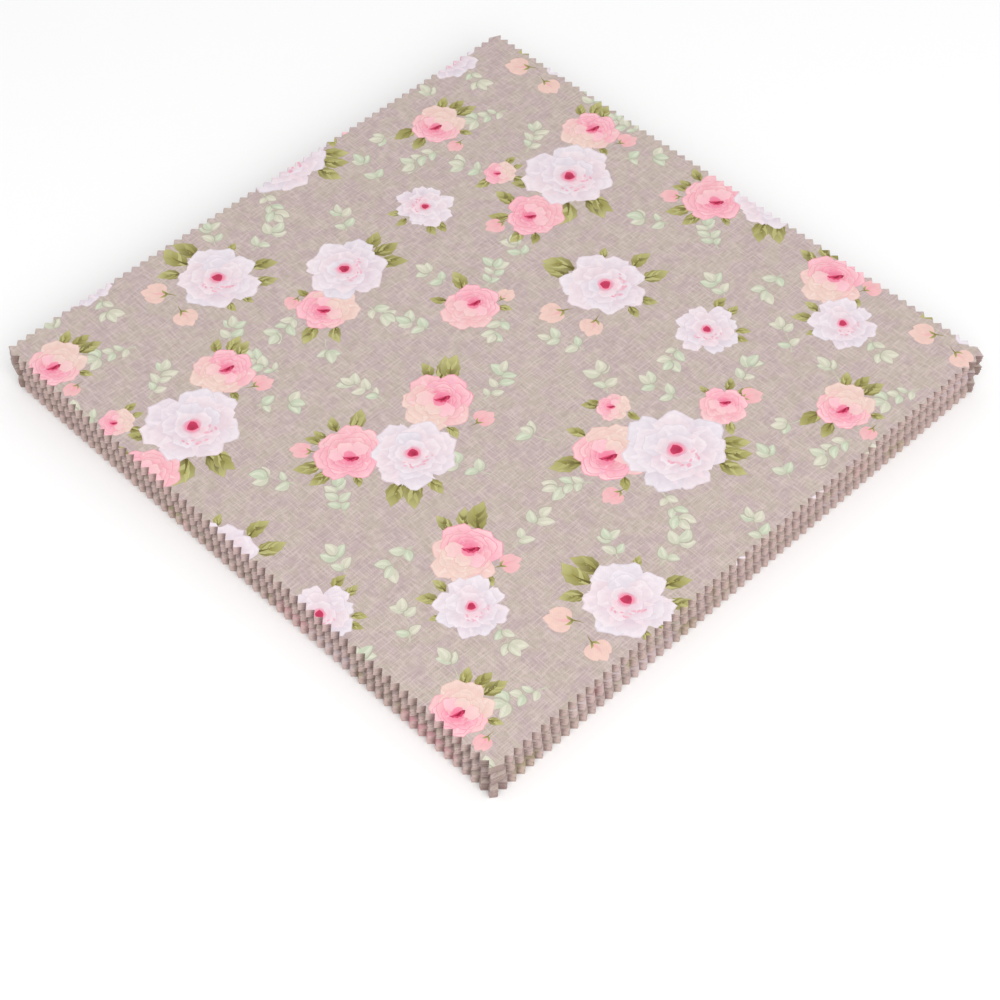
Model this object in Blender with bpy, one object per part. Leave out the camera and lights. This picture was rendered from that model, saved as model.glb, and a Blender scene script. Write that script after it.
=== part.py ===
"""A neat stack of precut cotton squares with pinked edges, lying flat on a surface.

The squares were cut in three lays, so the teeth of one lay line up, and each lay's teeth
stand a fraction of a tooth from those of the next. Each solid is a sheet with the true
toothed outline, as thick as the four or five squares that lie in it. Units are metres,
+Z is up, and the origin is under the middle of the stack, on the surface it lies on.
"""

import math
from collections import namedtuple

import bpy

# Driving dimensions, in metres.
SIDE = 0.254  # a square's width, from tooth tips to tooth tips
STACK_HEIGHT = 0.0173
SQUARES = 42  # in the whole stack
NOTCHES = 60  # cut along each side of a square
CORNER_CLIP = 0.0034  # from a square's corner to its first tooth tip
TIP_ROOM = 0.0014  # a shifted tip nearer to the corner than this is cut off
GAP = 0.0003  # between one solid and the next

TOOTH_PITCH = (SIDE - 2 * CORNER_CLIP) / NOTCHES
TOOTH_DEPTH = TOOTH_PITCH / 2  # the blade's teeth are right angles
SQUARE_PITCH = (STACK_HEIGHT + GAP) / SQUARES

# One row for each solid, from the bottom up. The teeth's shifts along the sides that
# run with X and with Y are in tooth widths, the offsets in mm and the turn in degrees.
Lift = namedtuple("Lift", "squares teeth_x teeth_y off_x off_y turn shade")
LIFTS = (
    Lift(5, -0.30, 0.44, -0.10, -0.15, -0.14, 0.86),
    Lift(5, -0.30, 0.44, -0.25, 0.05, -0.18, 0.92),
    Lift(4, -0.30, 0.44, -0.05, 0.10, -0.10, 0.95),
    Lift(5, 0.43, 0.47, 0.15, 0.05, -0.06, 0.90),
    Lift(5, 0.43, 0.47, -0.15, -0.10, -0.02, 0.97),
    Lift(4, 0.43, 0.47, 0.10, 0.20, -0.05, 0.93),
    Lift(5, 0.30, 0.30, -0.10, 0.05, 0.03, 0.98),
    Lift(4, 0.30, 0.30, 0.10, -0.10, -0.02, 0.95),
    Lift(5, 0.30, 0.30, 0.0, 0.0, 0.0, 1.0),
)
GROUND_COLOUR = (0.56, 0.47, 0.44)  # warm grey printed ground, linear
COTTON_ROUGHNESS = 0.9


def clear_scene():
    for obj in list(bpy.data.objects):
        bpy.data.objects.remove(obj)


def toothed_side(shift):
    """Tips and valleys along one side, as (place along it, depth in from the tips)."""
    reach = SIDE / 2 - TIP_ROOM
    every_tip = range(-NOTCHES - 2, NOTCHES + 3, 2)
    tips = [k for k in every_tip if abs((k / 2 + shift) * TOOTH_PITCH) <= reach]
    side = []
    for k in range(tips[0], tips[-1] + 1):
        depth = TOOTH_DEPTH if k % 2 else 0.0
        side.append(((k / 2 + shift) * TOOTH_PITCH, depth))
    return side


def pinked_outline(teeth_x, teeth_y):
    """The square's outline, once round. A short straight cut joins its sides."""
    outline = []
    for quarter, shift in enumerate((teeth_x, teeth_y, teeth_x, teeth_y)):
        cos = round(math.cos(quarter * math.pi / 2))
        sin = round(math.sin(quarter * math.pi / 2))
        for along, depth in toothed_side(shift):
            out = depth - SIDE / 2
            outline.append((along * cos - out * sin, along * sin + out * cos))
    return outline


def cotton(name, shade):
    material = bpy.data.materials.new(name)
    material.use_nodes = True
    surface = material.node_tree.nodes["Principled BSDF"]
    colour = [channel * shade for channel in GROUND_COLOUR]
    surface.inputs["Base Color"].default_value = (*colour, 1.0)
    surface.inputs["Roughness"].default_value = COTTON_ROUGHNESS
    surface.inputs["Metallic"].default_value = 0.0
    return material


def sheet(name, outline, thickness):
    """A flat sheet of this outline, its mid-height at the object's origin."""
    curve = bpy.data.curves.new(name, "CURVE")
    curve.dimensions = "2D"
    curve.fill_mode = "BOTH"
    curve.extrude = thickness / 2
    spline = curve.splines.new("POLY")
    spline.points.add(len(outline) - 1)
    for point, (x, y) in zip(spline.points, outline):
        point.co = (x, y, 0.0, 1.0)
    spline.use_cyclic_u = True
    return bpy.data.objects.new(name, curve)


def build_stack():
    stack = bpy.data.collections.new("stack_of_fabric_squares")
    bpy.context.scene.collection.children.link(stack)
    bottom = 0.0
    for number, lift in enumerate(LIFTS, start=1):
        height = lift.squares * SQUARE_PITCH
        thickness = height - GAP
        outline = pinked_outline(lift.teeth_x, lift.teeth_y)
        solid = sheet(f"squares_{number:02d}", outline, thickness)
        solid.location = (lift.off_x / 1000, lift.off_y / 1000, bottom + thickness / 2)
        solid.rotation_euler = (0.0, 0.0, math.radians(lift.turn))
        solid.data.materials.append(cotton(f"cotton_{number:02d}", lift.shade))
        stack.objects.link(solid)
        bottom += height


clear_scene()
build_stack()
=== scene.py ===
"""A neat stack of forty-two precut cotton squares with pinked edges, all of one rose print.

Each square is a piece of cloth of its own, printed, cut and laid on the one below it. The
print's chart is in millimetres and the finished pieces are in metres.
"""

import random
from collections import namedtuple
from math import cos, pi, radians, sin, tau

import bpy
import numpy as np
from mathutils import Matrix, Vector
from mathutils.geometry import delaunay_2d_cdt


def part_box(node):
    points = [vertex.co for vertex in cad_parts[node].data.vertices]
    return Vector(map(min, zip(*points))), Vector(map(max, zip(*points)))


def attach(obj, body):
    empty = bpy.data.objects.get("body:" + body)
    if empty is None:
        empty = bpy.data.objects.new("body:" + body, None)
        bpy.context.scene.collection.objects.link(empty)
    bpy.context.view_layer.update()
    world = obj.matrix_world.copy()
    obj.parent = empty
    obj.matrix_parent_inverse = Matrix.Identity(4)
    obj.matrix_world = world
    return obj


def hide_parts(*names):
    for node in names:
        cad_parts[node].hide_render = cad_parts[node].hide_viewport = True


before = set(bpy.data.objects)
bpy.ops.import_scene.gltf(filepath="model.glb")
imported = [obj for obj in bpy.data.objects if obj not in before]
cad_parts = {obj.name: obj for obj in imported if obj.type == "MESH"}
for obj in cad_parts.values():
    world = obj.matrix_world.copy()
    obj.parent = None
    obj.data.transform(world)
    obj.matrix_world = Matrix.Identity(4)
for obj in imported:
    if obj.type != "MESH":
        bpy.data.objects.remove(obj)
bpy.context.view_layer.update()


# The roses. Each is printed as five rings of overlapping petals round a crimson heart, cream
# on the side that leans to the light and hot pink on the other. A petal is a patch of dye
# whose colour runs from near, at start times its reach from the focus, to far at its reach.
Patch = namedtuple("Patch", "outline focus reach near far start", defaults=(0.0,))


def dye(red, green, blue):
    """A dye's linear colour, from its 0 to 255 values on a screen."""
    screen = [channel / 255 for channel in (red, green, blue)]
    return tuple(((c + 0.055) / 1.055) ** 2.4 if c > 0.04 else c / 12.92 for c in screen)


def blend(first, second, share):
    share = min(max(share, 0.0), 1.0)
    return tuple(a + (b - a) * share for a, b in zip(first, second))


GROUND = dye(191, 174, 167)
CRIMSON = dye(158, 22, 60)
ROSE_RED = dye(218, 70, 110)
DEEP_PINK = dye(236, 120, 152)
PINK = dye(243, 156, 177)
PALE_PINK = dye(247, 199, 206)
PINK_SHADE = dye(214, 110, 142)
CREAM = dye(238, 212, 202)
PEACH = dye(233, 197, 187)
PEACH_SHADE = dye(222, 176, 166)
ROSE_LIGHT = dye(250, 214, 216)
LILAC_PINK = dye(238, 170, 198)
CREAM_LIGHT = dye(243, 224, 216)

RIM_POINTS = 9
RIM_DROP, RIM_CURVE = 0.28, 2.6  # how a petal's rim falls away to its ends
HEEL_SPREAD = 0.6  # a petal's spread at its heel, in its spread at the rim
PETAL_START, STROKE_START = 0.66, 0.6  # where their dyes begin to change
SHADOW_EDGE = 1.03  # a petal's shadow, in the petal's own size


def moved(patches, x, y, turn=0.0):
    """The patches turned about the chart's origin, then carried to x, y."""
    rotation = np.array(((cos(turn), sin(turn)), (-sin(turn), cos(turn))))
    shift = np.array((x, y))
    made = []
    for patch in patches:
        outline = patch.outline @ rotation + shift
        focus = np.array(patch.focus) @ rotation + shift
        made.append(patch._replace(outline=outline, focus=focus))
    return made


def polar(reach, bearing):
    return reach * cos(bearing), reach * sin(bearing)


def petal_outline(bearing, reach, spread, ruffle, rng, heel=0.14):
    """A fan from the flower's heart, its rim ruffled and rounded off at both ends."""
    waves = rng.choice((2, 3))
    phase = rng.uniform(0.0, tau)
    outline = []
    for step in range(RIM_POINTS):
        across = 2 * step / (RIM_POINTS - 1) - 1
        rim = 1 + ruffle * sin(waves * pi * across + phase)
        rounded = 1 - RIM_DROP * abs(across) ** RIM_CURVE
        outline.append(polar(reach * rim * rounded, bearing + across * spread / 2))
    for across in (HEEL_SPREAD, -HEEL_SPREAD):
        outline.append(polar(heel * reach, bearing + across * spread / 2))
    return np.array(outline)


def brush_stroke(path, width):
    """A stroke along these points, full at its start and pointed at its end."""
    path = np.array(path, float)
    run = np.gradient(path, axis=0)
    side = np.stack((-run[:, 1], run[:, 0]), axis=1)
    side /= np.linalg.norm(run, axis=1, keepdims=True)
    half = width / 2 * np.linspace(1.0, 0.0, len(path))[:, None]
    return np.concatenate((path + side * half, (path - side * half)[-2::-1]))


def blot(reach, flatness, bearing, rng, wobble=0.08, points=11):
    """A small uneven round of dye."""
    first, second = rng.uniform(0.0, tau), rng.uniform(0.0, tau)
    right, up = polar(1.0, bearing)
    outline = []
    for step in range(points):
        angle = tau * step / points
        wave = sin(3 * angle + first) + 0.5 * sin(5 * angle + second)
        x, y = polar(reach * (1 + wobble * wave), angle)
        y *= flatness
        outline.append((x * right - y * up, x * up + y * right))
    return np.array(outline)


Ring = namedtuple("Ring", "reach petals spread ruffle depth veins edged", defaults=(True,))


def petal_ring(ring, radius, centre, flatness, tint, rng):
    """A ring's patches. tint(bearing, depth) gives a petal's heel, rim, light and shadow dyes."""
    patches = []
    centre = np.array(centre)
    reach = radius * ring.reach
    start = rng.uniform(0.0, tau)
    bearings = [start + tau * n / ring.petals for n in range(ring.petals)]
    rng.shuffle(bearings)
    for bearing in bearings:
        bearing += rng.uniform(-0.15, 0.15)
        size = reach * rng.uniform(0.90, 1.07)
        spread = radians(ring.spread) * rng.uniform(0.92, 1.12)
        shape = petal_outline(bearing, size, spread, ring.ruffle, rng) * (1.0, flatness)
        heel, rim, light, shadow = tint(bearing, ring.depth)
        if ring.edged:
            edge = shape * SHADOW_EDGE + centre
            patches.append(Patch(edge, centre, reach, shadow, shadow))
        patches.append(Patch(shape + centre, centre, size, heel, rim, PETAL_START))
        for number in range(ring.veins):
            place = rng.uniform(0.1, 0.9) + number - ring.veins / 2
            angle = bearing + place * 0.8 * spread / ring.veins
            curl = rng.uniform(-0.14, 0.14)
            path = []
            for share, bend in ((0.60, 0.0), (0.78, 0.6), (rng.uniform(0.90, 0.99), 1.0)):
                x, y = polar(share * size, angle + bend * curl)
                path.append((x, y * flatness))
            stroke = brush_stroke(path, reach * rng.uniform(0.14, 0.26)) + centre
            tone = light if number % 2 else blend(heel, shadow, rng.uniform(0.0, 0.8))
            near, far = blend(tone, heel, 0.4), blend(tone, rim, 0.5)
            patches.append(Patch(stroke, centre, size, near, far, STROKE_START))
    return patches


ROSE_RINGS = (
    Ring(1.00, 7, 66, 0.035, 0.00, 2),
    Ring(0.82, 6, 78, 0.040, 0.20, 2),
    Ring(0.65, 5, 94, 0.045, 0.40, 2),
    Ring(0.48, 5, 100, 0.050, 0.65, 2),
    Ring(0.34, 4, 122, 0.050, 0.90, 0),
)
ROSE_FLATNESS = 0.93
HEART_SHIFT = 0.20  # how far the heart stands off the rose's middle, in radii
FOLDS = ((1.0, 0.62, 0.0), (-0.9, 0.66, 0.6), (0.15, 0.60, 1.0))  # turn, size, share of cream
HEART_TURN = -38  # degrees; the slits all lie much the same way on the cloth
SLITS = ((0.24, 0.15, -0.01, ROSE_RED), (0.13, 0.10, 0.03, CRIMSON))  # width, sags, inner dye
SLIT_RAG, SLIT_TILT = 0.03, 0.04  # how ragged its lower edge is, and how its upper one leans


def heart_slit(radius, rng):
    """The dark slit in a rose's heart: a crescent that sags along x, with a darker core."""
    patches = []
    for wide, low, high, near in SLITS:
        wide *= rng.uniform(0.9, 1.1)
        lower, upper = [], []
        for n in range(-4, 5):
            along, bulge = n / 4, 1 - (n / 4) ** 2
            lower.append((wide * along, -low * bulge - SLIT_RAG * (n % 2)))
            upper.append((wide * along, -high * bulge + SLIT_TILT * along))
        outline = radius * (np.array(lower + upper[-2:0:-1]) + (0.02, 0.04))
        patches.append(Patch(outline, (0, 0), 0.24 * radius, near, CRIMSON, 0.5))
    return patches


def rose(radius, lean, cream, rng):
    """A rose round the origin. lean, in degrees, points to the side that is cream by so much."""
    lean = radians(lean)
    heart = -HEART_SHIFT * radius * np.array(polar(1.0, lean))

    def tint(bearing, depth):
        toward = 0.56 + 0.85 * cos(bearing - lean)
        pale = cream * min(max(toward - 0.4 * depth, 0.0), 1.0)
        rim = blend(ROSE_LIGHT, PALE_PINK, rng.random())
        rim = blend(rim, PINK, rng.uniform(0.0, 0.3) + 0.4 * depth)
        rim = blend(rim, CREAM, pale)
        heel = blend(PALE_PINK, PINK, 0.7)
        heel = blend(heel, DEEP_PINK, rng.uniform(0.7, 1.2) * depth)
        heel = blend(heel, PEACH, pale)
        shade = blend(PINK_SHADE, PEACH_SHADE, pale)
        light = blend(blend(ROSE_LIGHT, LILAC_PINK, rng.random()), CREAM_LIGHT, pale)
        return heel, rim, light, blend(heel, shade, 0.22 - 0.12 * pale)

    patches = []
    for ring in ROSE_RINGS:
        middle = heart * (1 - ring.reach)
        patches += petal_ring(ring, radius, middle, ROSE_FLATNESS, tint, rng)
    for turn, size, share in FOLDS:
        reach = size * radius
        shape = petal_outline(lean + turn, reach, 1.15, 0.05, rng, heel=0.05)
        front = blend(PALE_PINK, CREAM, share * cream)
        patches.append(Patch(shape * 1.025 + heart, heart, reach, DEEP_PINK, PEACH_SHADE, 0.35))
        patches.append(Patch(shape + heart, heart, reach, blend(front, PINK, 0.35), front, 0.35))
    glow = blot(0.27 * radius, 0.75, lean, rng) + heart
    patches.append(Patch(glow, heart, 0.30 * radius, DEEP_PINK, PINK, 0.2))
    slit = radians(HEART_TURN + rng.uniform(-20, 20))
    return patches + moved(heart_slit(radius, rng), *heart, slit)


# The white flowers, peonies and small blossoms. Their petals are all but white, tinted lilac,
# pink or blue, with blush folds on one side of a small crimson eye.
WHITE = dye(240, 230, 234)
LILAC_WHITE = dye(230, 216, 226)
PINK_WHITE = dye(239, 217, 223)
BLUE_WHITE = dye(223, 221, 231)
PETAL_SHADE = dye(208, 188, 200)
BLUSH = dye(238, 188, 200)
MAUVE_PINK = dye(222, 146, 172)

PEONY_RINGS = (
    Ring(1.00, 7, 62, 0.050, 0.0, 2),
    Ring(0.84, 6, 70, 0.050, 0.2, 2, False),
    Ring(0.62, 5, 82, 0.050, 0.5, 2),
    Ring(0.40, 4, 100, 0.050, 1.0, 1, False),
)
BLOSSOM_RINGS = (
    Ring(1.00, 8, 52, 0.050, 0.0, 2),
    Ring(0.76, 6, 70, 0.050, 0.4, 2),
    Ring(0.45, 4, 100, 0.045, 1.0, 1, False),
)
WHITE_FLATNESS = 0.96
PEONY_EYE, BLOSSOM_EYE = 0.14, 0.135  # their radii, in flower radii
BLUSH_FOLDS = 11

Spot = namedtuple("Spot", "size flatness wobble reach near far start")
EYE_SPOTS = (
    Spot(1.7, 0.85, 0.20, 1.8, MAUVE_PINK, PINK_WHITE, 0.5),
    Spot(1.2, 0.85, 0.08, 1.0, ROSE_RED, PINK, 0.0),
    Spot(0.9, 0.90, 0.14, 1.0, CRIMSON, ROSE_RED, 0.45),
)


def white_flower(radius, lean, rings, eye, rng):
    """A white flower round the origin. lean, in degrees, points to its blush side."""
    lean = radians(lean)

    def tint(bearing, depth):
        side = 0.5 + 0.5 * cos(bearing - lean)
        cast = rng.choice((LILAC_WHITE, PINK_WHITE, BLUE_WHITE))
        cast = blend(cast, WHITE, rng.uniform(0.2, 0.8))
        heel = blend(cast, blend(PETAL_SHADE, BLUSH, side * depth), 0.35 + 0.25 * side)
        light = blend(WHITE, BLUSH, 0.5 * side * rng.random())
        return heel, blend(cast, WHITE, 0.6), light, blend(cast, PETAL_SHADE, 0.4)

    patches = []
    for ring in rings:
        patches += petal_ring(ring, radius, (0.0, 0.0), WHITE_FLATNESS, tint, rng)
    for number in range(BLUSH_FOLDS):
        bearing = lean + 0.2 * (number - BLUSH_FOLDS // 2) + rng.uniform(-0.1, 0.1)
        place = np.array(polar(radius * rng.uniform(0.32, 0.48), bearing))
        size = radius * rng.uniform(0.035, 0.07)
        fold = blot(size, 0.5, bearing + rng.uniform(0.6, 2.2), rng, points=7) + place
        tone = blend(MAUVE_PINK, BLUSH, rng.random())
        patches.append(Patch(fold, place, 0.07 * radius, tone, BLUSH))
    turn = rng.uniform(0.0, pi)
    for spot in EYE_SPOTS:
        shape = blot(spot.size * eye * radius, spot.flatness, turn, rng, spot.wobble)
        reach = spot.reach * eye * radius
        patches.append(Patch(shape, (0, 0), reach, spot.near, spot.far, spot.start))
    return patches


# The leaves: olive ones under the flowers, dark at their base with lime strokes towards the
# tips, and pale mint or cream ones in pairs along thin stems.
LIME = dye(200, 196, 134)
OLIVE = dye(158, 151, 80)
DARK_OLIVE = dye(100, 90, 42)
MID_OLIVE = dye(132, 124, 58)
MINT = dye(206, 215, 191)
SAGE_CREAM = dye(222, 217, 199)
LEAF_LIGHT = dye(229, 228, 212)
SAGE = dye(176, 180, 158)
STEM = dye(198, 200, 176)

LEAFLET_TAPER, BUD_TAPER = 0.72, 0.62  # 1 for a pointed leaf, and less for a rounder one
LEAFLET_LENGTH, LEAFLET_DROP, TIP_LEAFLET = 6.9, 0.8, 7.1  # in mm, at most; less by pair
STEM_WIDTH = 0.6  # mm


def leaf_edge(length, width, bend, lobes, side, points, taper=1.0):
    """One edge of a leaf along x, from base to tip, on the side that is 1 or -1."""
    edge = []
    for step in range(points + 1):
        along = step / points
        swell = max(sin(pi * along**0.8), 0.0) ** taper
        wide = side * width / 2 * swell * (1 + lobes * (-1) ** step)
        edge.append((length * along, bend * length * sin(pi * along) + wide))
    return edge


def leaf_shapes(length, width, bend, lobes=0.0, points=8, taper=1.0):
    """A leaf along +x from the origin: its whole outline, its lower half and its rib."""
    upper = leaf_edge(length, width, bend, lobes, 1, points, taper)
    lower = leaf_edge(length, width, bend, lobes, -1, points, taper)
    rib = leaf_edge(length, 0.0, bend, lobes, 1, points)
    return np.array(upper + lower[-2:0:-1]), np.array(lower + rib[-2:0:-1]), rib


def olive_leaf(length, width, rng):
    """An olive leaf, laid down wet in wet: lime, olive and dark strokes out from its rib."""
    bend = rng.uniform(-0.14, 0.14)
    whole, _, rib = leaf_shapes(length, width, bend, 0.07)
    pale = blend(LIME, OLIVE, rng.uniform(0.0, 0.5))
    dark = blend(OLIVE, DARK_OLIVE, rng.uniform(0.4, 1.0))
    soft = whole * 1.05 - (0.025 * length, 0.0)
    patches = [
        Patch(soft, (0, 0), length, OLIVE, blend(OLIVE, GROUND, 0.6)),
        Patch(whole, (0, 0), length, dark, pale, 0.1),
    ]
    for side in (1, -1):
        for along in (0.04, 0.24, 0.44):
            x, y = length * along, bend * length * sin(pi * along)
            reach = width * sin(pi * (along + 0.2) ** 0.8) * rng.uniform(0.30, 0.46)
            end = (x + 0.40 * length, y + side * reach)
            middle = ((x + end[0]) / 2, (y + end[1]) / 2 + side * 0.08 * width)
            tone = rng.choice((DARK_OLIVE, MID_OLIVE, OLIVE, pale, LIME))
            stroke = brush_stroke(((x, y), middle, end), length * rng.uniform(0.12, 0.20))
            near, far = blend(tone, dark, 0.3), blend(tone, pale, 0.7)
            patches.append(Patch(stroke, (x, y), 0.45 * length, near, far))
    vein = brush_stroke(rib[:6], 0.09 * length)
    return patches + [Patch(vein, (0, 0), length, DARK_OLIVE, OLIVE, 0.1)]


def leaflet(length, rng):
    """A pale leaflet along +x from the origin, one half of it lighter."""
    width, bend = length * rng.uniform(0.54, 0.68), rng.uniform(-0.12, 0.12)
    whole, half, _ = leaf_shapes(length, width, bend, points=7, taper=LEAFLET_TAPER)
    pale = blend(MINT, SAGE_CREAM, rng.choice((0.0, 0.4, 0.8, 1.0)))
    deep = blend(pale, SAGE, 0.45)
    shade = whole * 1.14 - (0.06 * length, 0.05 * length * rng.choice((1, -1)))
    light = half * (0.74, 0.66) + (0.16 * length, 0.03 * length)
    return [
        Patch(shade, (0, 0), length, blend(SAGE, GROUND, 0.3), blend(SAGE, GROUND, 0.8)),
        Patch(whole, (0, 0), length, deep, blend(pale, deep, 0.2), 0.1),
        Patch(light, (0, 0), length, blend(pale, deep, 0.3), blend(pale, LEAF_LIGHT, 0.6), 0.1),
    ]


def sprig(length, leaflets, rng):
    """A stem through the origin along x, with leaflets in pairs and one at its tip."""
    bend = rng.uniform(-0.12, 0.12)
    path = []
    for n in range(6):
        path.append((length * (n / 5 - 0.5), bend * length * sin(pi * n / 5)))
    stem = brush_stroke(path, STEM_WIDTH)
    patches = [Patch(stem, (0, 0), length, blend(STEM, GROUND, 0.2), STEM)]
    pairs = (leaflets + 1) // 2
    for number in range(2 * pairs + 1):
        if number == 2 * pairs:
            along, turn, size = 0.90, rng.uniform(-0.25, 0.25), TIP_LEAFLET
        else:
            along = 0.82 - 0.60 * (number // 2) / max(1, pairs - 1)
            turn = (1 if number % 2 else -1) * rng.uniform(0.65, 1.1)
            size = LEAFLET_LENGTH - LEAFLET_DROP * (number // 2)
        along += rng.uniform(-0.08, 0.08)
        x, y = length * (along - 0.5), bend * length * sin(pi * along)
        patches += moved(leaflet(size * rng.uniform(0.72, 1.0), rng), x, y, turn)
    return patches


PEACH_BUD = dye(238, 203, 192)
PINK_BUD = dye(238, 190, 190)
BudPetal = namedtuple("BudPetal", "x y turn size")
BUD_PETALS = (
    BudPetal(0.02, 0.10, 0.30, 0.85),
    BudPetal(0.0, -0.10, -0.28, 0.88),
    BudPetal(0.06, 0.0, 0.0, 1.0),
)
BUD_FOLD = np.array(((0.1, 0.0), (0.4, 0.06), (0.8, 0.0)))  # in bud lengths, as the stalk is
BUD_STALK = np.array(((0.04, 0.0), (-0.25, 0.03), (-0.5, 0.1)))


def bud(length, outer, inner, rng):
    """A closed bud along +x from the origin, three petals deep, with its sepals and stalk."""
    patches = []
    for x, y, turn, size in BUD_PETALS:
        bend = rng.uniform(-0.1, 0.1)
        whole, _, _ = leaf_shapes(length * size, length * 0.66, bend, 0.02, taper=BUD_TAPER)
        petal = [
            Patch(whole * 1.04, (0, 0), length, blend(inner, PEACH_SHADE, 0.5), inner),
            Patch(whole, (0, 0), length, inner, outer, 0.25),
        ]
        patches += moved(petal, x * length, y * length, turn)
    fold = brush_stroke(BUD_FOLD * length, 0.2 * length)
    patches.append(Patch(fold, (0, 0), 0.9 * length, blend(inner, DEEP_PINK, 0.35), inner))
    for turn, size in ((0.7, 0.4), (-0.6, 0.35)):
        whole, _, _ = leaf_shapes(length * size, length * 0.12, 0.1)
        sepal = [Patch(whole, (0, 0), length / 2, MID_OLIVE, LIME)]
        patches += moved(sepal, -0.05 * length, 0.0, turn)
    stalk = brush_stroke(BUD_STALK * length, 0.08 * length)
    return patches + [Patch(stalk, (0, 0), length, MID_OLIVE, OLIVE)]


# One repeat of the print, charted: where each flower, bud and sprig stands on the
# cloth, in mm from the middle of the top square, with its leaves' bearings and lengths. The
# repeat is 188 by 210 mm, so many motifs fall on a square more than once.
Flower = namedtuple("Flower", "x y radius lean leaves cream", defaults=(1.0,))
Bud = namedtuple("Bud", "x y length turn peach")
Sprig = namedtuple("Sprig", "x y length leaflets turn")

ROSES = [Flower(*row) for row in (
    (70, -107, 11, 15, ((155, 11), (190, 9), (15, 9), (-8, 10), (40, 8), (-70, 6))),
    (-78, 62, 11.5, 190, ((60, 8), (35, 10), (10, 9), (-110, 6))),
    (-29, 59, 11.5, -15, ((200, 11), (-115, 9), (95, 6))),
    (
        -71, 2, 12.5, 60,
        ((112, 7), (95, 6), (70, 8), (38, 11), (165, 11), (190, 10), (-120, 6)), 0.2,
    ),
    (-33, -3, 14, 185, ((60, 9), (40, 12), (20, 14), (-115, 7))),
    (-73, -59, 13, 190, ((75, 9), (40, 10), (22, 14), (-95, 6))),
    (-5, -63, 14, 10, ((145, 13), (160, 12), (95, 8), (-115, 7))),
    (61, 40, 11.5, -20, ((100, 11), (140, 9), (190, 9), (225, 7)), 0.2),
    (9, 22, 11.5, 200, ((115, 7), (65, 11), (-45, 6)), 0.5),
    (39, -76, 9, 200, ((-120, 7), (30, 7), (0, 7), (80, 5)), 0.3),
    (68, 66, 6.5, -30, ((170, 8), (20, 6), (-75, 8), (-20, 5))),
    (11, -49, 6.5, -50, ((135, 7), (110, 5), (-70, 6))),
)]
PEONIES = [Flower(*row) for row in (
    (
        -48, 100, 16, 225,
        ((105, 14), (85, 13), (130, 10), (-22, 11), (-50, 10), (-112, 6), (-88, 6), (28, 6)),
    ),
    (-102, 50, 17.5, 260, ((250, 13), (222, 14), (268, 12), (150, 9))),
    (-11, 70, 15.5, -60, ((-8, 12), (8, 11), (-35, 12))),
    (-55, -14, 15.5, 250, ((212, 13), (232, 13), (250, 9))),
    (
        53, -5, 16.5, -60,
        ((118, 13), (100, 14), (-5, 11), (-32, 12), (-98, 7), (-72, 8), (45, 6)),
    ),
    (12, -78, 18.5, 250, ((-35, 12), (-50, 12), (-66, 12))),
)]
BLOSSOMS = [Flower(*row) for row in (
    (34, 73, 11.5, 120, ((178, 6), (155, 6), (238, 7), (258, 7))),
    (63, -47, 12.5, 230, ((20, 8), (2, 7), (-50, 6), (-62, 6))),
    (-87, -76, 12.5, 260, ((125, 9), (100, 7), (160, 5))),
)]
BUDS = [Bud(*row) for row in (
    (-67, 107, 9, 130, True),
    (-69, 96, 8, 260, True),
    (32, -3, 9, 160, True),
    (37, -15, 8, 205, True),
    (20, 17, 6, 5, True),
    (-74, 49, 7, -20, False),
    (-34, 71, 6, 200, False),
    (49, 46, 7, 170, False),
    (-80, 12, 7, 130, False),
    (-29, -20, 7, -5, False),
    (-68, -71, 7, -20, False),
    (-16, -77, 7, 175, False),
    (47, -79, 7, -25, False),
    (69, 90, 6, 190, False),
)]
SPRIGS = [Sprig(*row) for row in (
    (-109, 120, 9, 2, 70), (-88, 118, 10, 3, 250), (-100, 97, 17, 5, 160),
    (-35, 118, 10, 3, 60), (-23, 103, 13, 3, 10), (-8, 116, 14, 5, 250),
    (-98, 75, 15, 6, 30), (-63, 75, 8, 3, 40), (-64, 54, 12, 5, 100),
    (-46, 64, 12, 5, 190), (-74, 37, 14, 4, -40), (-17, 45, 8, 4, -80),
    (-42, 45, 7, 2, 240), (-11, 29, 9, 3, 110), (-47, 19, 16, 5, 100),
    (-97, 10, 12, 4, 120), (6, 89, 11, 4, 60), (32, 103, 15, 4, 80),
    (53, 93, 14, 5, 170), (51, 112, 6, 2, 150), (62, 76, 10, 4, 110),
    (26, 29, 13, 5, 30), (43, 31, 8, 3, 70), (11, 43, 9, 3, 100),
    (9, 8, 10, 3, 200), (21, -16, 14, 4, 110), (-87, -12, 14, 5, 60),
    (-106, -32, 9, 4, 70), (-90, -45, 13, 4, 190), (-45, -33, 15, 4, 110),
    (-18, -40, 8, 2, 110), (-12, -11, 16, 6, 20), (-26, -64, 15, 5, 150),
    (-51, -67, 17, 4, 10), (-108, -66, 14, 4, 60), (29, -56, 14, 4, 100),
    (57, -71, 10, 3, 20), (17, -38, 11, 4, 60), (45, -47, 8, 3, 200),
)]
REPEAT_ACROSS, REPEAT_UP = (188.0, -4.3), (0.2, 210.4)
CHART_SEED = 4
HALF_SIDE = 127.0  # of a square, in mm
LEAF_START = 0.86  # how far out a flower's leaves start, in its radii
LEAF_LENGTH, LEAF_WIDTH = 0.92, 0.50  # in the lengths that the chart gives


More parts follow.
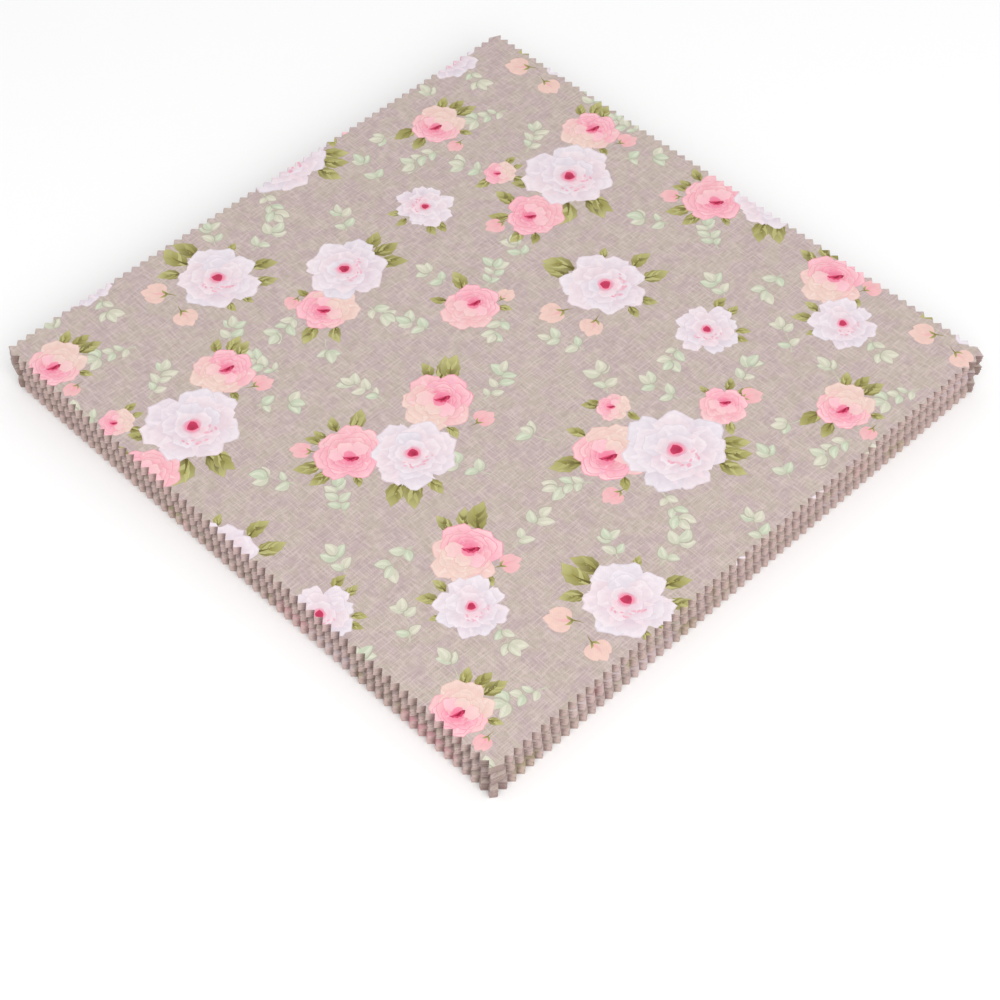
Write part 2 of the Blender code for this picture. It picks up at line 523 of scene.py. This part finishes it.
def repeated(patches, x, y, reach):
    """The motif at x, y and wherever else the repeat brings it onto the square."""
    made = []
    for across in (-1, 0, 1):
        for up in (-1, 0, 1):
            px = x + across * REPEAT_ACROSS[0] + up * REPEAT_UP[0]
            py = y + across * REPEAT_ACROSS[1] + up * REPEAT_UP[1]
            if max(abs(px), abs(py)) < HALF_SIDE + reach:
                made += moved(patches, px, py)
    return made


def foliage(flower, rng):
    """The olive leaves behind a flower, each starting a little way in from its rim."""
    patches = []
    for bearing, length in flower.leaves:
        bearing = radians(bearing)
        x, y = polar(LEAF_START * flower.radius, bearing)
        leaf = olive_leaf(LEAF_LENGTH * length, LEAF_WIDTH * length, rng)
        patches += moved(leaf, x, y, bearing + rng.uniform(-0.3, 0.3))
    return patches


def rose_print():
    """Every patch of the print that can fall on the square, in the order of printing."""
    rng = random.Random(CHART_SEED)
    patches = []
    for item in SPRIGS:
        motif = moved(sprig(item.length, item.leaflets, rng), 0, 0, radians(item.turn))
        patches += repeated(motif, item.x, item.y, item.length)
    for flower in ROSES + PEONIES + BLOSSOMS:
        patches += repeated(foliage(flower, rng), flower.x, flower.y, 2 * flower.radius)
    for item in BUDS:
        dyes = (PEACH_BUD, PEACH) if item.peach else (PINK_BUD, blend(PINK, PEACH, 0.5))
        motif = moved(bud(item.length, *dyes, rng), 0, 0, radians(item.turn))
        patches += repeated(motif, item.x, item.y, item.length)
    for flower in ROSES:
        motif = rose(flower.radius, flower.lean, flower.cream, rng)
        patches += repeated(motif, flower.x, flower.y, flower.radius)
    kinds = ((BLOSSOMS, BLOSSOM_RINGS, BLOSSOM_EYE), (PEONIES, PEONY_RINGS, PEONY_EYE))
    for flowers, rings, eye in kinds:
        for flower in flowers:
            motif = white_flower(flower.radius, flower.lean, rings, eye, rng)
            patches += repeated(motif, flower.x, flower.y, flower.radius)
    return patches


PRINT = rose_print()
BARE = -1  # stands for a patch's number where no dye lies, and finds the ground's own row below


def inside(outline, points):
    """Whether each point lies inside the closed outline, by counting crossings."""
    x, y = points[:, 0, None], points[:, 1, None]
    (x0, y0), (x1, y1) = outline.T, np.roll(outline, -1, axis=0).T
    crossed = (y0 > y) != (y1 > y)
    rise = np.where(y1 == y0, 1.0, y1 - y0)
    left = x < x0 + (y - y0) * (x1 - x0) / rise
    return (crossed & left).sum(axis=1) % 2 == 1


def patch_at(points):
    """The number of the patch that shows at each point, or BARE."""
    found = np.full(len(points), BARE)
    order = np.argsort(points[:, 0])
    ranked = points[order, 0]
    for number, patch in enumerate(PRINT):
        low, high = patch.outline.min(axis=0), patch.outline.max(axis=0)
        first, last = np.searchsorted(ranked, (low[0], high[0]))
        near = order[first:last]
        near = near[(points[near, 1] > low[1]) & (points[near, 1] < high[1])]
        if len(near):
            found[near[inside(patch.outline, points[near])]] = number
    return found


NEAR_DYES = np.array([patch.near for patch in PRINT] + [GROUND])
FAR_DYES = np.array([patch.far for patch in PRINT] + [GROUND])
FOCI = np.array([patch.focus for patch in PRINT] + [(0, 0)], float)
REACHES = np.array([patch.reach for patch in PRINT] + [1.0])
STARTS = np.array([patch.start for patch in PRINT] + [0.0])


def printed_colour(points, numbers):
    """The print's colour at each point of the patch with this number; alpha is 0 on ground."""
    distance = np.linalg.norm(points - FOCI[numbers], axis=1) / REACHES[numbers]
    share = np.clip((distance - STARTS[numbers]) / (1 - STARTS[numbers]), 0.0, 1.0)[:, None]
    colour = NEAR_DYES[numbers] * (1 - share) + FAR_DYES[numbers] * share
    painted = (numbers > BARE).astype(float)[:, None]
    return np.concatenate((colour, painted), axis=1)


# The cotton. A plain weave of fine yarns, printed on its upper face with a linen-look ground
# of crossed pale and mauve streaks; the back is paler, and a cut edge shows the yarns' ends,
# with painted shade deep in its notches.
YARN_PITCH = 0.00042
YARN_RISE = 0.00012  # of the weave's bump
GROUND_BEIGE = dye(192, 178, 166)
GROUND_PINK = dye(190, 171, 170)
GROUND_PALE = dye(216, 199, 194)
GROUND_MAUVE = dye(164, 146, 142)
CLOTH_BACK = dye(222, 210, 204)
# The cut edge's own colour at a tooth's tip, and the painted shade deep in a notch.
EDGE_TIP = dye(198, 173, 167)
EDGE_VALLEY_SHADE = dye(124, 98, 93)
EDGE_COVER = 0.82  # how far the yarns' ends, darkened by painted shade in the notches, hide the print at an edge
LEVEL, UPRIGHT = 0.8, 0.3  # how far up a face looks, as part of the cloth's face or of its edge
CLOUD = (0.008, 0.008, 0.008)

Streak = namedtuple("Streak", "seed stretch low high share colour")
STREAKS = (
    Streak(3.0, (0.0006, 0.004, 0.01), 0.46, 0.68, 0.36, GROUND_MAUVE),
    Streak(9.0, (0.004, 0.0006, 0.01), 0.46, 0.68, 0.36, GROUND_MAUVE),
    Streak(21.0, (0.0005, 0.005, 0.01), 0.48, 0.66, 0.5, GROUND_PALE),
    Streak(33.0, (0.005, 0.0005, 0.01), 0.48, 0.66, 0.5, GROUND_PALE),
)
WASH = (0.0022, 0.0022, 0.0022)  # the grain of the motifs' watery dyes
SLUB = (0.0006, 0.004, 0.001)


def feed(socket, value):
    """Link an output to this socket, or set the socket to a plain value."""
    if isinstance(value, bpy.types.NodeSocket):
        socket.id_data.links.new(value, socket)
    else:
        socket.default_value = value


def add(tree, kind, inputs, **settings):
    """A new node's outputs. Its settings are made before its inputs are fed."""
    node = tree.nodes.new(kind)
    for name, value in settings.items():
        setattr(node, name, value)
    for socket, value in inputs.items():
        feed(node.inputs[socket], value)
    return node.outputs


def tree_of(*values):
    """The tree that the sockets among these values belong to."""
    return next(value.id_data for value in values if isinstance(value, bpy.types.NodeSocket))


def calc(operation, *values):
    inputs = dict(enumerate(values))
    return add(tree_of(*values), "ShaderNodeMath", inputs, operation=operation)[0]


def colour_mix(share, first, second, blend_type="MIX"):
    tree, inputs = tree_of(share, first, second), {0: share}
    for socket, value in ((6, first), (7, second)):
        inputs[socket] = (*value, 1.0) if isinstance(value, tuple) else value
    return add(tree, "ShaderNodeMix", inputs, data_type="RGBA", blend_type=blend_type)[2]


def noise(vector, stretch, detail=2.0, seed=0.0):
    """Noise whose grain is as long as stretch, in metres, along each axis."""
    scale = [1.0 / length for length in stretch]
    place = {"Vector": vector, "Location": (seed, 1.7 * seed, 0.0), "Scale": scale}
    mapped = add(vector.id_data, "ShaderNodeMapping", place)[0]
    grain = {"Vector": mapped, "Scale": 1.0, "Detail": detail}
    return add(vector.id_data, "ShaderNodeTexNoise", grain)["Fac"]


def steps(value, low, high):
    """0 below low, 1 above high and smooth between them."""
    inputs = {"Value": value, "From Min": low, "From Max": high}
    smooth = {"interpolation_type": "SMOOTHSTEP"}
    return add(value.id_data, "ShaderNodeMapRange", inputs, **smooth)[0]


def new_group(name, inputs, outputs):
    """A shader node group; inputs and outputs are (name, kind of value, default) rows."""
    group = bpy.data.node_groups.new(name, "ShaderNodeTree")
    for direction, rows in (("INPUT", inputs), ("OUTPUT", outputs)):
        for label, kind, default in rows:
            kind = f"NodeSocket{kind}"
            socket = group.interface.new_socket(label, in_out=direction, socket_type=kind)
            if default is not None:
                socket.default_value = default
    entry = group.nodes.new("NodeGroupInput")
    result = group.nodes.new("NodeGroupOutput")
    return group, entry.outputs, result.inputs


def plain_weave():
    """Warp over weft over warp: the height of the yarns at each point of the cloth."""
    inputs = (("Vector", "Vector", None), ("Yarn Pitch", "Float", YARN_PITCH))
    group, entry, result = new_group("plain_weave", inputs, (("Height", "Float", None),))
    split = add(group, "ShaderNodeSeparateXYZ", {0: entry["Vector"]})
    warp = calc("DIVIDE", split["X"], entry["Yarn Pitch"])
    weft = calc("DIVIDE", split["Y"], entry["Yarn Pitch"])
    crossing = calc("ADD", calc("FLOOR", warp), calc("FLOOR", weft))
    warp_up = calc("FLOORED_MODULO", crossing, 2.0)
    waves = [calc("SINE", calc("MULTIPLY", yarn, pi)) for yarn in (warp, weft)]
    over = calc("MULTIPLY", calc("ABSOLUTE", waves[0]), warp_up)
    under = calc("MULTIPLY", calc("ABSOLUTE", waves[1]), calc("SUBTRACT", 1.0, warp_up))
    feed(result["Height"], calc("ADD", over, under))
    return group


def linen_ground():
    """The printed ground: beige grey and mauve clouds under crossed pale and mauve streaks."""
    inputs, outputs = (("Vector", "Vector", None),), (("Color", "Color", None),)
    group, entry, result = new_group("linen_ground", inputs, outputs)
    clouds = steps(noise(entry["Vector"], CLOUD), 0.40, 0.60)
    colour = colour_mix(clouds, GROUND_BEIGE, GROUND_PINK)
    for streak in STREAKS:
        grain = noise(entry["Vector"], streak.stretch, 3.0, streak.seed)
        share = calc("MULTIPLY", steps(grain, streak.low, streak.high), streak.share)
        colour = colour_mix(share, colour, streak.colour)
    feed(result["Color"], colour)
    return group


PLAIN_WEAVE = plain_weave()
LINEN_GROUND = linen_ground()


def placed(group, vector):
    tree = vector.id_data
    return add(tree, "ShaderNodeGroup", {"Vector": vector}, node_tree=group)[0]


def printed_cotton(name, print_share):
    """Cotton whose "print" attribute holds the motifs' colours, and how much of them shows."""
    material = bpy.data.materials.new(name)
    material.use_nodes = True
    tree = material.node_tree
    surface = tree.nodes["Principled BSDF"].inputs
    where = tree.nodes.new("ShaderNodeTexCoord").outputs
    vector = where["Object"]
    upward = add(tree, "ShaderNodeSeparateXYZ", {0: where["Normal"]})["Z"]

    motifs = add(tree, "ShaderNodeAttribute", {}, attribute_name="print")
    wash = calc("MULTIPLY_ADD", noise(vector, WASH, 4.0, 5.0), 0.22, 0.89)
    brushed = colour_mix(1.0, motifs["Color"], wash, "MULTIPLY")
    share = calc("MULTIPLY", motifs["Alpha"], print_share)
    face = colour_mix(share, placed(LINEN_GROUND, vector), brushed)

    # The cut edge is painted darker deep in each notch and at the clipped corners: painted shade
    # in its recesses.
    depth = add(tree, "ShaderNodeAttribute", {}, attribute_name="notch")["Fac"]
    yarn_ends_and_notch_shade = colour_mix(steps(depth, 0.25, 0.85), EDGE_TIP, EDGE_VALLEY_SHADE)
    edge = colour_mix(EDGE_COVER, face, yarn_ends_and_notch_shade)
    level = steps(calc("ABSOLUTE", upward), UPRIGHT, LEVEL)
    is_edge = calc("SUBTRACT", 1.0, level)
    is_back = steps(calc("MULTIPLY", upward, -1.0), UPRIGHT, LEVEL)
    colour = colour_mix(is_edge, face, edge)
    colour = colour_mix(is_back, colour, CLOTH_BACK)
    feed(surface["Base Color"], colour)

    weave = placed(PLAIN_WEAVE, vector)
    height = calc("MULTIPLY_ADD", noise(vector, SLUB, 2.0, 14.0), 0.6, weave)
    relief = {"Strength": 0.35, "Distance": YARN_RISE, "Height": height}
    feed(surface["Normal"], add(tree, "ShaderNodeBump", relief)[0])
    feed(surface["Roughness"], calc("MULTIPLY_ADD", weave, -0.12, 0.92))
    surface["Specular IOR Level"].default_value = 0.25
    surface["Sheen Weight"].default_value = 0.12
    surface["Sheen Roughness"].default_value = 0.5
    return material


# The squares. Each was cut by a pinking die: sixty right-angled notches a side, with the
# corners clipped. They were cut in three lays, so the teeth line up within a lay only.
SIDE = 0.254
SHEET = 0.00035  # the cloth's thickness
NOTCHES = 60
CORNER_CLIP = 0.0034  # left out of the notches' run at each end of a side
TIP_ROOM = 0.0014  # how far short of the corner the last tooth ends
CORNER_SHADE = 0.65  # how much painted shade a clipped corner takes, as a notch's depth
TOOTH_PITCH = (SIDE - 2 * CORNER_CLIP) / NOTCHES
TOOTH_DEPTH = TOOTH_PITCH / 2
UNEVEN = 0.00005  # how far a rim rises and falls
RIPPLES = 60.0  # of them to a metre, about
WELD = 0.00001
LAY_GAP = 0.0002  # left under each lay's first square, beyond the squares' own spacing
LAY_LEAN = (-0.4, -1.0)  # how far each lay leans from its first square to its last, in mm
STRAY, STRAY_TURN = 0.00008, 0.015  # how far, and by what part of a degree, a square strays

# A lay's teeth are shifted in pitches. Where the print falls on it and where its last square
# lies are in mm. A lift is the few squares of it that lie in one node.
Lay = namedtuple("Lay", "teeth_x teeth_y printed place")
LAYS = (
    Lay(-0.30, 0.44, (61, 34), (-0.4, -0.9)),
    Lay(0.43, 0.47, (-47, 82), (-0.1, -0.3)),
    Lay(0.30, 0.30, (0, 0), (0.0, 0.0)),
)
Lift = namedtuple("Lift", "squares lay off_x off_y turn")
LIFTS = (
    Lift(5, 0, -0.10, -0.15, -0.14),
    Lift(5, 0, -0.25, 0.05, -0.18),
    Lift(4, 0, -0.05, 0.10, -0.10),
    Lift(5, 1, 0.15, 0.05, -0.06),
    Lift(5, 1, -0.15, -0.10, -0.02),
    Lift(4, 1, 0.10, 0.20, -0.05),
    Lift(5, 2, -0.10, 0.05, 0.03),
    Lift(4, 2, 0.10, -0.10, -0.02),
    Lift(5, 2, 0.0, 0.0, 0.0),
)
NODES = [f"squares_{number:02d}" for number in range(1, len(LIFTS) + 1)]
SQUARES = sum(lift.squares for lift in LIFTS)
STACK_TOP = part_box(NODES[-1])[1][2]
SQUARE_PITCH = (STACK_TOP - SHEET - 2 * LAY_GAP) / (SQUARES - 1)


def cutting_die():
    """A Geometry Nodes tree that cuts one square by rule and gives it its thickness."""
    tree = bpy.data.node_groups.new("pinked_square", "GeometryNodeTree")
    kinds = {"Geometry": "Geometry", "Notches": "Int", "Material": "Material"}
    kinds |= dict.fromkeys(("Side", "Corner Clip", "Tip Room", "Teeth X", "Teeth Y"), "Float")
    kinds |= dict.fromkeys(("Thickness", "Unevenness", "Seed"), "Float")
    for label, kind in kinds.items():
        tree.interface.new_socket(label, in_out="INPUT", socket_type=f"NodeSocket{kind}")
    tree.interface.new_socket("Geometry", in_out="OUTPUT", socket_type="NodeSocketGeometry")
    entry = tree.nodes.new("NodeGroupInput").outputs
    result = tree.nodes.new("NodeGroupOutput").inputs[0]

    # Each side in turn: its points stand half a pitch apart, every second one in a notch.
    side, notches = entry["Side"], entry["Notches"]
    reach = calc("MULTIPLY_ADD", side, 0.5, calc("MULTIPLY", entry["Tip Room"], -1.0))
    room = calc("MULTIPLY_ADD", entry["Corner Clip"], -2.0, side)
    pitch = calc("DIVIDE", room, notches)
    per_side = calc("MULTIPLY_ADD", notches, 2.0, 5.0)
    index = tree.nodes.new("GeometryNodeInputIndex").outputs[0]
    quarter = calc("FLOOR", calc("DIVIDE", calc("ADD", index, 0.5), per_side))
    step = calc("SUBTRACT", index, calc("MULTIPLY", quarter, per_side))
    valley = calc("FLOORED_MODULO", step, 2.0)
    upright = calc("FLOORED_MODULO", quarter, 2.0)
    shift = calc("MULTIPLY", entry["Teeth X"], calc("SUBTRACT", 1.0, upright))
    shift = calc("MULTIPLY_ADD", entry["Teeth Y"], upright, shift)
    halves = calc("SUBTRACT", step, calc("ADD", notches, 2.0))
    along = calc("MULTIPLY", calc("MULTIPLY_ADD", halves, 0.5, shift), pitch)
    depth = calc("MULTIPLY", calc("MULTIPLY", valley, pitch), 0.5)
    out = calc("MULTIPLY_ADD", side, -0.5, depth)
    flat = add(tree, "ShaderNodeCombineXYZ", {"X": along, "Y": out})[0]
    turned = {"Vector": flat, "Angle": calc("MULTIPLY", quarter, pi / 2)}
    place = add(tree, "ShaderNodeVectorRotate", turned, rotation_type="Z_AXIS")[0]

    # The points past a corner are left out, and the others are joined and filled.
    every = {"Count": calc("MULTIPLY", per_side, 4.0), "Position": place}
    points = add(tree, "GeometryNodePoints", every)[0]
    past = calc("ADD", calc("ABSOLUTE", along), depth)
    past = calc("GREATER_THAN", past, calc("ADD", reach, 1e-6))  # a hair more, for rounding
    unwanted = {"Geometry": points, "Selection": past}
    kept = add(tree, "GeometryNodeDeleteGeometry", unwanted, domain="POINT")[0]
    line = add(tree, "GeometryNodePointsToCurves", {"Points": kept})[0]
    ring = add(tree, "GeometryNodeSetSplineCyclic", {0: line, "Cyclic": True})[0]
    fill = add(tree, "GeometryNodeFillCurve", {0: ring}, mode="NGONS")[0]

    rise = add(tree, "ShaderNodeCombineXYZ", {"Z": entry["Thickness"]})[0]
    raised = {"Mesh": fill, "Offset": rise, "Offset Scale": 1.0, "Individual": False}
    thicken = add(tree, "GeometryNodeExtrudeMesh", raised, mode="FACES")
    under = add(tree, "GeometryNodeFlipFaces", {0: fill})
    both = tree.nodes.new("GeometryNodeJoinGeometry")
    feed(both.inputs[0], thicken["Mesh"])
    feed(both.inputs[0], under[0])
    joined = {"Geometry": both.outputs[0], "Distance": WELD}
    weld = add(tree, "GeometryNodeMergeByDistance", joined)[0]

    # Its rim rises and falls a little, the same on its face and on its back.
    position = tree.nodes.new("GeometryNodeInputPosition").outputs[0]
    level = {0: position, 1: (1.0, 1.0, 0.0)}
    level = add(tree, "ShaderNodeVectorMath", level, operation="MULTIPLY")[0]
    wave = {"Vector": level, "W": entry["Seed"], "Scale": RIPPLES, "Detail": 3.0}
    ripple = add(tree, "ShaderNodeTexNoise", wave, noise_dimensions="4D")["Fac"]
    lift = calc("MULTIPLY", calc("SUBTRACT", ripple, 0.5), entry["Unevenness"])
    offset = add(tree, "ShaderNodeCombineXYZ", {"Z": calc("MULTIPLY", lift, 2.0)})[0]
    settled = add(tree, "GeometryNodeSetPosition", {"Geometry": weld, "Offset": offset})[0]
    real = add(tree, "GeometryNodeRealizeInstances", {0: settled})[0]
    dressed = {"Geometry": real, "Material": entry["Material"]}
    feed(result, add(tree, "GeometryNodeSetMaterial", dressed)[0])
    return tree


def set_out(name, content):
    """A new object in the scene."""
    thing = bpy.data.objects.new(name, content)
    bpy.context.scene.collection.objects.link(thing)
    return thing


def run_tree(name, tree, values):
    """The plain mesh object that a tree makes from nothing but these named inputs."""
    blank = set_out(name, bpy.data.meshes.new(name))
    modifier = blank.modifiers.new(tree.name, "NODES")
    modifier.node_group = tree
    for socket in tree.interface.items_tree:
        if socket.in_out == "INPUT" and socket.name in values:
            modifier[socket.identifier] = values[socket.name]
    evaluated = blank.evaluated_get(bpy.context.evaluated_depsgraph_get())
    mesh = bpy.data.meshes.new_from_object(evaluated)
    blank.modifiers.remove(modifier)
    blank.data = mesh
    mesh.name = name
    return blank


def notch_shade_depths(points):
    """How deep each point, in mm, lies in the notches: 0 at a tip and 1 in a valley, which sets
    the painted shade of the cut edge; near a clipped corner it is painted at least part-way deep.
    """
    low, high = np.sort(np.abs(points), axis=1).T / 1000
    depths = np.clip((SIDE / 2 - high) / TOOTH_DEPTH, 0.0, 1.0)
    corner = low > SIDE / 2 - 2 * CORNER_CLIP
    return np.where(corner, np.maximum(depths, CORNER_SHADE), depths)


def store(mesh, name, kind, domain, values):
    layer = mesh.attributes.new(name, kind, domain)
    layer.data.foreach_set("color" if kind == "FLOAT_COLOR" else "value", np.ravel(values))


UNDER_COTTON = printed_cotton("cotton_under", 0.5)
DIE = cutting_die()


def lower_square(number, lift, node):
    """The square of this number, counted from 0 at the bottom of the stack."""
    lay = LAYS[lift.lay]
    values = {
        "Side": SIDE,
        "Notches": NOTCHES,
        "Corner Clip": CORNER_CLIP,
        "Tip Room": TIP_ROOM,
        "Teeth X": lay.teeth_x,
        "Teeth Y": lay.teeth_y,
        "Thickness": SHEET,
        "Unevenness": UNEVEN,
        "Seed": 7.3 * number,
        "Material": UNDER_COTTON,
    }
    piece = run_tree(f"square_{number + 1:02d}", DIE, values)
    mesh = piece.data
    points = np.empty(3 * len(mesh.vertices))
    mesh.vertices.foreach_get("co", points)
    flat = points.reshape(-1, 3)[:, :2] * 1000
    on_print = flat + lay.printed
    colours = printed_colour(on_print, patch_at(on_print))
    store(mesh, "print", "FLOAT_COLOR", "POINT", colours)
    store(mesh, "notch", "FLOAT", "POINT", notch_shade_depths(flat))
    rng = random.Random(number)
    lay_squares = SQUARES // len(LAYS)
    short = 1 - (number % lay_squares) / (lay_squares - 1)
    place = np.array(lay.place) - short * np.array(LAY_LEAN)
    across = (lift.off_x + place[0]) / 1000 + rng.gauss(0.0, STRAY)
    up = (lift.off_y + place[1]) / 1000 + rng.gauss(0.0, STRAY)
    turn = radians(lift.turn + rng.gauss(0.0, STRAY_TURN))
    height = number * SQUARE_PITCH + lift.lay * LAY_GAP
    mesh.transform(Matrix.Translation((across, up, height)) @ Matrix.Rotation(turn, 4, "Z"))
    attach(piece, "root")
    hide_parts(node)


places = [(lift, node) for lift, node in zip(LIFTS, NODES) for _ in range(lift.squares)]
for number, (lift, node) in enumerate(places[:-1]):
    lower_square(number, lift, node)


# The top square, whose printed face shows. Its cloth is divided along the outline of every
# dye that shows, so each takes its own colour and its edges are clean.
GRID = 4.0  # between the cloth's free points, in mm
SOFT_RISE = 0.00005  # the height of its slight ripples
RIM_ROOM = 0.5  # between the free points and the notches, in mm
OUTSIDE = -2  # stands for a patch's number off the cloth


def pinked_outline(teeth_x, teeth_y):
    """The same outline as the die cuts, in mm, once round."""
    outline = []
    for quarter, shift in enumerate((teeth_x, teeth_y, teeth_x, teeth_y)):
        right, up = (round(share) for share in polar(1.0, quarter * pi / 2))
        for step in range(-NOTCHES - 2, NOTCHES + 3):
            depth = TOOTH_DEPTH if step % 2 else 0.0
            along = (step / 2 + shift) * TOOTH_PITCH
            if abs(along) + depth <= SIDE / 2 - TIP_ROOM:
                out = depth - SIDE / 2
                outline.append((along * right - out * up, along * up + out * right))
    return 1000 * np.array(outline)


def divided(points, edges):
    """The points joined into triangles that keep to these edges."""
    flat = [Vector(point) for point in points]
    cut = delaunay_2d_cdt(flat, [tuple(map(int, edge)) for edge in edges], [], 0, 1e-4, False)
    return np.array([tuple(point) for point in cut[0]]), np.array(cut[2])


def printed_sheet(rim):
    """Points, triangles and patch numbers of the cloth inside the rim, as dye divides it."""
    points, edges, count = [], [], 0
    for outline in [rim] + [patch.outline for patch in PRINT]:
        around = len(outline)
        points.append(outline)
        edges += [(count + n, count + (n + 1) % around) for n in range(around)]
        count += around
    points, triangles = divided(np.concatenate(points), edges)
    middles = points[triangles].mean(axis=1)
    numbers = patch_at(middles)
    numbers[~inside(rim, middles)] = OUTSIDE

    # Only the edges between two dyes are kept, with free points between them.
    sides = np.sort(triangles[:, ((0, 1), (1, 2), (2, 0))].reshape(-1, 2), axis=1)
    owner = np.repeat(numbers, 3)
    order = np.lexsort((sides[:, 1], sides[:, 0]))
    sides, owner = sides[order], owner[order]
    paired = (sides[1:] == sides[:-1]).all(axis=1)
    shown = sides[:-1][paired & (owner[1:] != owner[:-1])]
    used = np.unique(shown)
    renumber = np.full(len(points), -1)
    renumber[used] = np.arange(len(used))
    rows = np.arange(GRID - HALF_SIDE, HALF_SIDE, GRID)
    free = np.stack(np.meshgrid(rows, rows), axis=-1).reshape(-1, 2)
    free = free[np.abs(free).max(axis=1) < HALF_SIDE - 1000 * TOOTH_DEPTH - RIM_ROOM]
    points, triangles = divided(np.concatenate((points[used], free)), renumber[shown])
    middles = points[triangles].mean(axis=1)
    within = inside(rim, middles)
    triangles, middles = triangles[within], middles[within]
    return points, triangles, patch_at(middles)


def top_square():
    """The mesh of the top square: its divided face, its cut edge and its back."""
    rim = pinked_outline(LAYS[-1].teeth_x, LAYS[-1].teeth_y)
    points, triangles, numbers = printed_sheet(rim)
    used, triangles = np.unique(triangles, return_inverse=True)
    points, triangles = points[used], triangles.reshape(-1, 3)
    corners = points[triangles]
    (ax, ay), (bx, by) = (corners[:, 1] - corners[:, 0]).T, (corners[:, 2] - corners[:, 0]).T
    clockwise = ax * by < ay * bx
    triangles[clockwise] = triangles[clockwise][:, ::-1]

    sides = triangles[:, ((0, 1), (1, 2), (2, 0))].reshape(-1, 2)
    present = set(map(tuple, sides))
    border = [(a, b) for a, b in sides if (b, a) not in present]
    following = dict(border)
    loop = [border[0][0]]
    while following[loop[-1]] != loop[0]:
        loop.append(following[loop[-1]])
    under = {point: len(points) + place for place, point in enumerate(loop)}
    walls = [(under[a], under[b], b, a) for a, b in border]
    back = [under[point] for point in reversed(loop)]

    x, y = points.T / 1000
    ripple = np.sin(31 * x + 2.1 * np.sin(23 * y)) * np.sin(27 * y + 1.7 * np.sin(19 * x + 1.0))
    height = STACK_TOP - SOFT_RISE * (0.5 - 0.5 * ripple)
    top = np.column_stack((x, y, height))
    bottom = top[loop] - (0.0, 0.0, SHEET)
    mesh = bpy.data.meshes.new("square_42")
    faces = [tuple(map(int, corners)) for corners in triangles] + walls + [back]
    mesh.from_pydata(np.concatenate((top, bottom)).tolist(), [], faces)

    flat = np.concatenate((points, points[loop]))
    corner_points = np.concatenate((triangles.ravel(), np.ravel(walls), back)).astype(int)
    rim_numbers = patch_at(flat[corner_points[3 * len(triangles):]])
    corner_numbers = np.concatenate((np.repeat(numbers, 3), rim_numbers))
    colours = printed_colour(flat[corner_points], corner_numbers)
    store(mesh, "print", "FLOAT_COLOR", "CORNER", colours)
    store(mesh, "notch", "FLOAT", "POINT", notch_shade_depths(flat))
    return mesh


top_mesh = top_square()
top_mesh.materials.append(printed_cotton("cotton_top", 1.0))
top_piece = set_out("square_42", top_mesh)
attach(top_piece, "root")
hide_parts(NODES[-1])


# The floor. A wide, matt, all but white sheet that the stack lies on, just clear of the lowest
# square. It belongs to the studio and not to the stack.
FLOOR_SIDE = 6.0
FLOOR_DROP = 0.0003
FLOOR_WHITE = (0.97, 0.97, 0.97, 1.0)
floor_mesh = bpy.data.meshes.new("floor")
half = FLOOR_SIDE / 2
corners = ((-half, -half, 0.0), (half, -half, 0.0), (half, half, 0.0), (-half, half, 0.0))
floor_mesh.from_pydata(corners, [], [(0, 1, 2, 3)])
floor_cover = bpy.data.materials.new("pale_floor")
floor_cover.use_nodes = True
floor_surface = floor_cover.node_tree.nodes["Principled BSDF"]
floor_surface.inputs["Base Color"].default_value = FLOOR_WHITE
floor_surface.inputs["Roughness"].default_value = 0.9
floor_surface.inputs["Specular IOR Level"].default_value = 0.1
floor_mesh.materials.append(floor_cover)
floor = set_out("floor", floor_mesh)
floor.location.z = -FLOOR_DROP


# The light. An even white studio dome lights the stack from all round, and one broad softbox
# stands over the corner nearest the eye.
DOME_STRENGTH = 0.72
SOFTBOX_SIDE, SOFTBOX_WATTS = 1.4, 15.0
SOFTBOX_PLACE = (-0.55, -0.9, 1.1)

world = bpy.data.worlds.new("studio")
world.use_nodes = True
dome = world.node_tree.nodes["Background"]
dome.inputs["Color"].default_value = (1.0, 1.0, 1.0, 1.0)
dome.inputs["Strength"].default_value = DOME_STRENGTH
bpy.context.scene.world = world

softbox = bpy.data.lights.new("softbox", "AREA")
softbox.shape = "SQUARE"
softbox.size = SOFTBOX_SIDE
softbox.energy = SOFTBOX_WATTS
softbox_holder = set_out("softbox", softbox)
softbox_holder.location = SOFTBOX_PLACE
aim = -Vector(SOFTBOX_PLACE)
softbox_holder.rotation_euler = aim.to_track_quat("-Z", "Y").to_euler()


# The camera. It looks down over the near corner from about 0.8 m, aimed a little to this side
# of the stack's middle.
AZIMUTH, ELEVATION, ROLL = radians(-45.20), radians(51.25), radians(0.39)
DISTANCE = 0.7850
TARGET = Vector((-0.03835, -0.04076, 0.0))
LENS, SENSOR = 79.47, 36.0  # in mm
NEAREST = 0.01

lens = bpy.data.cameras.new("camera")
lens.sensor_width = SENSOR
lens.lens = LENS
lens.clip_start = NEAREST
camera = set_out("camera", lens)
level = cos(ELEVATION)
away = Vector((sin(AZIMUTH) * level, -cos(AZIMUTH) * level, sin(ELEVATION)))
spin = away.to_track_quat("Z", "Y").to_matrix() @ Matrix.Rotation(ROLL, 3, "Z")
camera.matrix_world = Matrix.Translation(TARGET + away * DISTANCE) @ spin.to_4x4()
bpy.context.scene.camera = camera
bpy.context.scene.view_settings.view_transform = "Standard"
